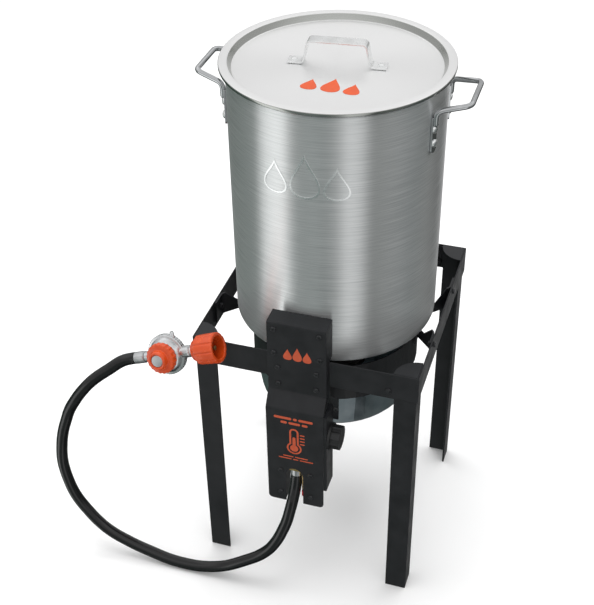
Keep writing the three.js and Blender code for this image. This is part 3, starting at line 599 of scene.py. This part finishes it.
def kettle_shell(shape):
    inner = KETTLE_R - KETTLE_WALL
    corner = (KETTLE_R - KETTLE_CORNER, KETTLE_BASE + KETTLE_CORNER)
    outside = arc(corner, KETTLE_CORNER, -90, 0, 10)
    inside = arc(corner, KETTLE_CORNER - KETTLE_WALL, 0, -90, 8)
    bead = arc((KETTLE_R + BEAD_OUT, KETTLE_RIM - BEAD_BELOW - BEAD_R), BEAD_R, -100, 90, 12)
    profile = [(0, KETTLE_BASE)] + outside + bead + [(inner, KETTLE_RIM - INNER_EDGE_BELOW)] + inside
    lathe(shape, profile + [(0, KETTLE_BASE + KETTLE_WALL)], ROUND_STEPS)


LID_SHEET = 1.5
LID_DISH_ROUND = 2.0            # where the floor turns up
LID_EDGE_ROUND = 1.6            # the flange's two edges
LID_HEM = 0.8                   # the curl under the flange's rim
LID_HEM_DROP = 4.2              # its centre below the top
LID_LEAN = 5.3                  # how far the recess leans out


def lid_pan(shape):
    dish, edge, hem = LID_DISH_ROUND, LID_EDGE_ROUND, LID_HEM
    under = LID_TOP - LID_SHEET
    profile = [(0, LID_FLOOR)] + arc((LID_FLOOR_R - dish, LID_FLOOR + dish), dish, -90, -22, 5)
    profile += arc((LID_FLOOR_R + LID_LEAN, LID_TOP - edge), edge, 160, 90, 5)
    profile += arc((LID_R - edge, LID_TOP - edge), edge, 90, 0, 6)
    profile += arc((LID_R - hem, LID_TOP - LID_HEM_DROP), hem, 0, -180, 5)
    profile += [(LID_R - 1.6, LID_TOP - 2.0), (LID_R - 2.4, under), (LID_FLOOR_R + 5.0, under),
                (LID_FLOOR_R + 1.6, LID_FLOOR - LID_SHEET), (0, LID_FLOOR - LID_SHEET)]
    lathe(shape, profile, ROUND_STEPS)


STRAP_TURN = 6
STRAP_RIVET = 59.5
STRAP_THICK = 2.5
STRAP_HALF_WIDTH = 10
STRAP_RISE = 34.5
STRAP_BEND = 5.5


def lid_strap(shape):
    low = LID_FLOOR + 0.3 + STRAP_THICK / 2
    high = LID_FLOOR + STRAP_RISE - STRAP_THICK / 2
    path = [(-68, low), (-46, low), (-39.5, high), (39.5, high), (46, low), (68, low)]
    outline = strip_outline(path, STRAP_THICK, STRAP_BEND)
    prism(shape, outline, -STRAP_HALF_WIDTH, STRAP_HALF_WIDTH, around(STRAP_TURN) @ FACING_FRONT)


RIVET_SINK = 0.6
LID_RIVET_R, LID_RIVET_RISE = 4.2, 1.7


def rivet_head(shape, radius, height, turn):
    dome = [(radius * cos(radians(a)), height * sin(radians(a))) for a in (0, 15, 35, 55, 72)]
    profile = [(0, -RIVET_SINK), (radius, -RIVET_SINK)] + dome + [(0, height)]
    lathe(shape, profile, 24, turn)


HANDLE_ANGLE = 18.5
HANDLE_REACH = 191
HANDLE_GRIP = 37
HANDLE_Z = 811
ROD_R = 3.8
ROD_FOOT = 779
ROD_BEND = 9
ROD_KNEE_DROP = 8               # where the rod leaves the wall, below the grip
ROD_TIP = 0.35                  # the rod's ends narrow to this share of its radius
TAB_INNER = 152.3
TAB_THICK = 3.0
TAB_TOP = 795
TAB_BOTTOM = 748
TAB_HALF = 6
TAB_UPRIGHT = Matrix(((0, 0, 1, 0), (1, 0, 0, 0), (0, 1, 0, 0), (0, 0, 0, 1)))


def side_handle(turn):
    def rod(shape):
        angle = radians(HANDLE_ANGLE)
        seat = TAB_INNER + ROD_R + 0.1
        x, y = seat * cos(angle), seat * sin(angle)
        knee = HANDLE_Z - ROD_KNEE_DROP
        path = bent([(x, -y, ROD_FOOT), (x, -y, knee), (HANDLE_REACH, -HANDLE_GRIP, HANDLE_Z),
                     (HANDLE_REACH, HANDLE_GRIP, HANDLE_Z), (x, y, knee), (x, y, ROD_FOOT)], ROD_BEND, 8)
        count = len(path) - 1

        def reach(fraction):
            from_end = min(fraction, 1 - fraction) * count
            return ROD_R * (ROD_TIP if from_end < 0.5 else 1.0)

        first = path[0].lerp(path[1], ROD_TIP)
        last = path[-1].lerp(path[-2], ROD_TIP)
        tube(shape, [path[0], first] + path[1:-1] + [last, path[-1]], reach, 20, around(turn))

    def tab(shape, side):
        foot = [(TAB_HALF * cos(radians(a)), TAB_BOTTOM + TAB_HALF * sin(radians(a)))
                for a in range(195, 346, 15)]
        plate = [(-TAB_HALF, TAB_TOP), (-TAB_HALF, TAB_BOTTOM + 1)] + foot
        plate += [(TAB_HALF, TAB_BOTTOM + 1), (TAB_HALF, TAB_TOP)]
        stand = around(turn + side * HANDLE_ANGLE) @ TAB_UPRIGHT
        prism(shape, plate, TAB_INNER, TAB_INNER + TAB_THICK, stand)

    def build(shape):
        rod(shape)
        for side in (-1, 1):
            tab(shape, side)
    return build


TAB_PLACES = {"left_front": 180 + HANDLE_ANGLE, "left_back": 180 - HANDLE_ANGLE,
              "right_front": -HANDLE_ANGLE, "right_back": HANDLE_ANGLE}
RIVET_LEVELS = {"upper": 777, "lower": 756}
RIVET_R, RIVET_RISE = 5.8, 2.9
RIVET_TAIL_R, RIVET_TAIL_RISE = 4.6, 1.8
RIVET_TAIL_AT = 149.7           # just inside the wall


def handle_rivet(angle, level):
    def build(shape):
        outer = around(angle) @ moved(TAB_INNER + TAB_THICK + 0.3, 0, level) @ ALONG_X
        rivet_head(shape, RIVET_R, RIVET_RISE, outer)
        inner = around(angle) @ moved(RIVET_TAIL_AT, 0, level) @ ALONG_X @ Matrix.Rotation(pi, 4, "Y")
        rivet_head(shape, RIVET_TAIL_R, RIVET_TAIL_RISE, inner)
    return build


def lid_rivet(side):
    def build(shape):
        seat = around(STRAP_TURN) @ moved(side * STRAP_RIVET, 0, LID_FLOOR + STRAP_THICK + RIVET_SINK)
        rivet_head(shape, LID_RIVET_R, LID_RIVET_RISE, seat)
    return build


def add_kettle():
    make("kettle_wall", kettle_shell, "kettle", "spun_aluminium", ["kettle_shell"], sharp=50)
    make("lid_dish", lid_pan, "lid", "spun_aluminium", ["lid_pan"], look="turned_aluminium", sharp=50)
    make("lid_handle", lid_strap, "lid", "spun_aluminium", ["lid_strap_handle"], look="strap_aluminium",
         bevel=0.7)
    for place, side in (("left", -1), ("right", 1)):
        make("lid_rivet_head_" + place, lid_rivet(side), "lid", "spun_aluminium",
             ["lid_rivet_" + place], look="strap_aluminium")
    for place, turn in (("right", 0), ("left", 180)):
        make("rod_handle_" + place, side_handle(turn), "kettle", "chromed_rod", ["kettle_handle_" + place],
             bevel=0.5)
    for place, angle in TAB_PLACES.items():
        for level, height in RIVET_LEVELS.items():
            make(f"rivet_{place}_{level}", handle_rivet(angle, height), "kettle", "spun_aluminium",
                 [f"handle_rivet_{place}_{level}"], look="strap_aluminium")


add_kettle()

# ---------------------------------------------------------------- control box details
COVER_X = -3.5
COVER_SCREWS = [(33.5, 507), (34, 465), (29, 438.5), (28.5, 409)]
PANEL_SCREWS = [(23.5, 249.5), (23.5, 203.5)]
PLATE_SCREW = (49, 361)
UPPER_FACE = -188
LOWER_FACE = -204
PLATE_FACE = -167.7


def screw_head(shape, x, y, z):
    profile = [(0, 0.9), (1.0, 1.0), (1.5, 2.0), (3.2, 1.9), (3.9, 1.2), (4.1, 0.2), (4.1, -0.8), (0, -0.8)]
    lathe(shape, profile, 24, moved(x, y, z) @ FACING_FRONT)


DROP_SPAN = 2.6                 # how wide the drop's curve is before it is scaled


def drop(centre_x, base, width, height, steps=28):
    """A drop or flame outline with its point up."""
    points = []
    for i in range(steps):
        t = 2 * pi * i / steps
        across = cos(t) * (1 - sin(t)) * width / DROP_SPAN
        points.append((centre_x + across, base + height * (1 + sin(t)) / 2))
    return points


def dash(x0, x1, z0, z1, radius, steps=6):
    """The outline of a bar with rounded ends."""
    points = []
    corners = ((x1 - radius, z1 - radius, 0), (x0 + radius, z1 - radius, 90),
               (x0 + radius, z0 + radius, 180), (x1 - radius, z0 + radius, 270))
    for x, z, start in corners:
        for i in range(steps + 1):
            angle = radians(start + 90 * i / steps)
            points.append((x + radius * cos(angle), z + radius * sin(angle)))
    return points


def thermometer(x, centre, bulb, stem, rise, steps=20, cap_steps=8):
    """A thermometer outline: a round bulb about its centre with a stem standing on it."""
    opening = sqrt(bulb ** 2 - stem ** 2)
    start = atan2(opening, stem)
    points = []
    for i in range(steps + 1):
        angle = pi - start + (pi + 2 * start) * i / steps
        points.append((x + bulb * cos(angle), centre + bulb * sin(angle)))
    top = centre + rise - 2
    for i in range(cap_steps + 1):
        angle = pi * i / cap_steps
        points.append((x + stem * cos(angle), top + stem * sin(angle)))
    return points


PRINT_THICK = 0.2
PRINT_GAP = 2.4
# Drops on the cover: centre, width and height of each.
COVER_DROPS = [(-17, 13, 20), (-2.5, 14, 25), (12, 13, 20)]
COVER_DROPS_BASE = 456
# Plain dashes: bottom and top of the row, where it starts, and the length of each dash.
PRINT_ROWS = [(356, 360.5, -35, (27, 6, 22)), (347.5, 352, -25, (10, 18, 9)),
              (281.5, 283.4, -22, (16, 20)), (276.5, 278.4, -29, (20, 8, 21))]
THERMOMETER = (-4.5, 300.5)
SCALE_MARKS = (310, 316, 322, 328)


def printed(shape, outline, face):
    prism(shape, outline, -face, -face + PRINT_THICK, FACING_FRONT)


def cover_print(shape):
    for x, width, height in COVER_DROPS:
        printed(shape, drop(x, COVER_DROPS_BASE, width, height), UPPER_FACE)
    for z0, z1, start, widths in PRINT_ROWS:
        x = start
        for width in widths:
            printed(shape, dash(x, x + width, z0, z1, (z1 - z0) / 2 - 0.05), LOWER_FACE)
            x += width + PRINT_GAP
    outline = thermometer(*THERMOMETER, 11.6, 7.2, 34)
    hollow = thermometer(*THERMOMETER, 9.0, 4.4, 34)
    levels = (-LOWER_FACE, -LOWER_FACE + PRINT_THICK)
    band(shape, outline, hollow, levels, lambda u, v, level: FACING_FRONT @ Vector((u, v, level)))
    printed(shape, thermometer(*THERMOMETER, 6.4, 2.4, 22), LOWER_FACE)
    for z in SCALE_MARKS:
        printed(shape, dash(4.5, 12, z, z + 2.2, 1.0), LOWER_FACE)


# Drops on the lid: centre, width and height of each.
LID_DROPS = [(-18, 22, 31), (11, 26, 40), (40, 22, 31)]
LID_DROPS_BASE = -83
LID_PRINT = (0.02, 0.25)        # the print's underside and top, above the lid's floor


def lid_print(shape):
    for x, width, height in LID_DROPS:
        outline = drop(x, LID_DROPS_BASE, width, height)
        prism(shape, outline, LID_FLOOR + LID_PRINT[0], LID_FLOOR + LID_PRINT[1])


# Three raised drop outlines pressed out of the kettle's wall: centre, width and height of each.
WALL_DROPS = [(-43, 36, 50), (0, 42, 66), (43, 36, 50)]
WALL_MARK_BASE = 706
WALL_MARK_BAND = 1.9
WALL_MARK_ROOT = 0.2
WALL_MARK_RISE = 0.8
WALL_MARK_STEPS = 56
# How much narrower and lower the inner outline is, in bands.
INNER_NARROWER = 2.4
INNER_LOWER = 3.4


def on_wall(u, v, radius):
    """A place at a radius, u round the kettle's wall from the front and v up."""
    return radius * sin(u / KETTLE_R), -radius * cos(u / KETTLE_R), v


def wall_mark(shape):
    levels = (KETTLE_R - WALL_MARK_ROOT, KETTLE_R + WALL_MARK_RISE)
    for x, width, height in WALL_DROPS:
        outer = drop(x, WALL_MARK_BASE, width, height, WALL_MARK_STEPS)
        inner = drop(x, WALL_MARK_BASE + WALL_MARK_BAND, width - INNER_NARROWER * WALL_MARK_BAND,
                     height - INNER_LOWER * WALL_MARK_BAND, WALL_MARK_STEPS)
        band(shape, outer, inner, levels, on_wall)


def cover_screws(shape):
    for places, face in ((COVER_SCREWS, UPPER_FACE), (PANEL_SCREWS, LOWER_FACE)):
        for x, z in places:
            for side in (-1, 1):
                screw_head(shape, COVER_X + side * x, face, z)
    screw_head(shape, PLATE_SCREW[0], PLATE_FACE, PLATE_SCREW[1])


def add_details():
    make("cover_screws", cover_screws, "stand", "blackened_steel")
    make("cover_marks", cover_print, "stand", "orange_plastic", look="orange_print")
    make("lid_marks", lid_print, "lid", "orange_plastic", look="orange_print")
    make("wall_marks", wall_mark, "kettle", "spun_aluminium", look="strap_aluminium", sharp=30)


add_details()

# ---------------------------------------------------------------- floor, light and sky
FLOOR_HALF = 60.0


def add_floor():
    mesh = bpy.data.meshes.new("floor")
    corners = [(-FLOOR_HALF, -FLOOR_HALF, 0), (FLOOR_HALF, -FLOOR_HALF, 0),
               (FLOOR_HALF, FLOOR_HALF, 0), (-FLOOR_HALF, FLOOR_HALF, 0)]
    mesh.from_pydata(corners, [], [(0, 1, 2, 3)])
    floor = bpy.data.objects.new("floor", mesh)
    bpy.context.scene.collection.objects.link(floor)
    look = Look("pale_floor", (0.93, 0.93, 0.93), 0.0, 0.9, {"Specular IOR Level": 0.1})
    floor.data.materials.append(look.material)
    floor.visible_glossy = False


# What the kettle's wall mirrors below the horizon, by direction: degrees from the front towards
# +X, and the colour there.
PANEL = (1.404, 1.425, 1.414)
STUDIO = [
    (-180, (0.75, 0.75, 0.75)), (-150, (0.072, 0.101, 0.086)), (-120, (0.05, 0.079, 0.065)),
    (-96, (0.101, 0.137, 0.122)), (-72, (0.158, 0.194, 0.18)), (-64, PANEL),
    (-40, PANEL), (-32, (0.216, 0.252, 0.241)), (-8, (0.252, 0.295, 0.284)),
    (4, (0.18, 0.216, 0.209)), (16, (0.374, 0.396, 0.389)), (28, (1, 1.01, 1.01)),
    (42, (0.78, 0.79, 0.79)), (52, (0.108, 0.122, 0.115)), (64, (0.187, 0.202, 0.194)),
    (84, (0.202, 0.216, 0.216)), (106, (0.086, 0.108, 0.108)), (124, (0.158, 0.166, 0.158)),
    (138, (0.036, 0.04, 0.037)), (160, (0.029, 0.032, 0.03)), (172, (0.9, 0.9, 0.9)),
]
STUDIO_STRENGTH = 1.0
CEILING = (1.12, 1.12, 1.12, 1)        # what the lid mirrors, 24 degrees up and more
ZENITH = (0.85, 0.85, 0.85, 1)
BACKDROP = (0.62, 0.62, 0.62, 1)       # the paper behind, above the horizon
DARK_FLOOR = (0.04, 0.045, 0.045, 1)   # what the polished rods mirror straight down
# Heights, as the sine of the elevation, where one part of the studio blends into the next.
FLOOR_EDGE = (-0.9, -0.72)
HORIZON = (-0.03, 0.01)
CEILING_EDGE = (0.4, 0.6)
ZENITH_EDGE = (0.66, 0.85)


def add_studio():
    world = bpy.data.worlds.new("studio")
    bpy.context.scene.world = world
    world.use_nodes = True
    tree = world.node_tree
    background = tree.nodes["Background"]

    def add(kind, inputs=None, **settings):
        return add_node(tree, kind, inputs, **settings)

    def blend(low, high, edge, height):
        """One colour below an edge, the other above it, and a soft change between."""
        share = add("ShaderNodeMapRange", {"Value": height, "From Min": edge[0], "From Max": edge[1]},
                    interpolation_type="SMOOTHSTEP")
        return add_mix(tree, share.outputs["Result"], low, high)

    coords = add("ShaderNodeTexCoord")
    parts = add("ShaderNodeSeparateXYZ", {0: coords.outputs["Generated"]})
    x, y, height = parts.outputs
    frontward = add("ShaderNodeMath", {0: y, 1: -1.0}, operation="MULTIPLY").outputs[0]
    angle = add("ShaderNodeMath", {0: x, 1: frontward}, operation="ARCTAN2").outputs[0]
    share = add("ShaderNodeMapRange", {"Value": angle, "From Min": -pi, "From Max": pi})
    ramp = add("ShaderNodeValToRGB", {0: share.outputs["Result"]})
    stops = ramp.color_ramp.elements
    for i, (degrees, tint) in enumerate(STUDIO):
        place = (degrees + 180) / 360
        stop = stops.new(place) if i else stops[0]
        stop.position = place
        stop.color = (*tint, 1)
    stops.remove(stops[len(stops) - 1])     # the ramp's own last stop
    colour = blend(DARK_FLOOR, ramp.outputs[0], FLOOR_EDGE, height)
    colour = blend(colour, BACKDROP, HORIZON, height)
    colour = blend(colour, CEILING, CEILING_EDGE, height)
    colour = blend(colour, ZENITH, ZENITH_EDGE, height)
    tree.links.new(colour, background.inputs["Color"])
    background.inputs["Strength"].default_value = STUDIO_STRENGTH


def add_softbox(name, place, aim, size, power):
    data = bpy.data.lights.new(name, "AREA")
    data.shape = "RECTANGLE"
    data.size, data.size_y = size
    data.energy = power
    light = bpy.data.objects.new(name, data)
    bpy.context.scene.collection.objects.link(light)
    light.location = place
    light.rotation_euler = (Vector(aim) - Vector(place)).to_track_quat("-Z", "Y").to_euler()
    light.visible_glossy = False


# The softbox overhead, in metres and watts.
SOFTBOX_PLACE = (-0.3, 0.2, 3.2)
SOFTBOX_AIM = (0, 0, 0.4)
SOFTBOX_SIZE = (2.2, 2.2)
SOFTBOX_POWER = 70

add_floor()
add_studio()
add_softbox("overhead_softbox", SOFTBOX_PLACE, SOFTBOX_AIM, SOFTBOX_SIZE, SOFTBOX_POWER)
bpy.context.scene.view_settings.view_transform = "Standard"
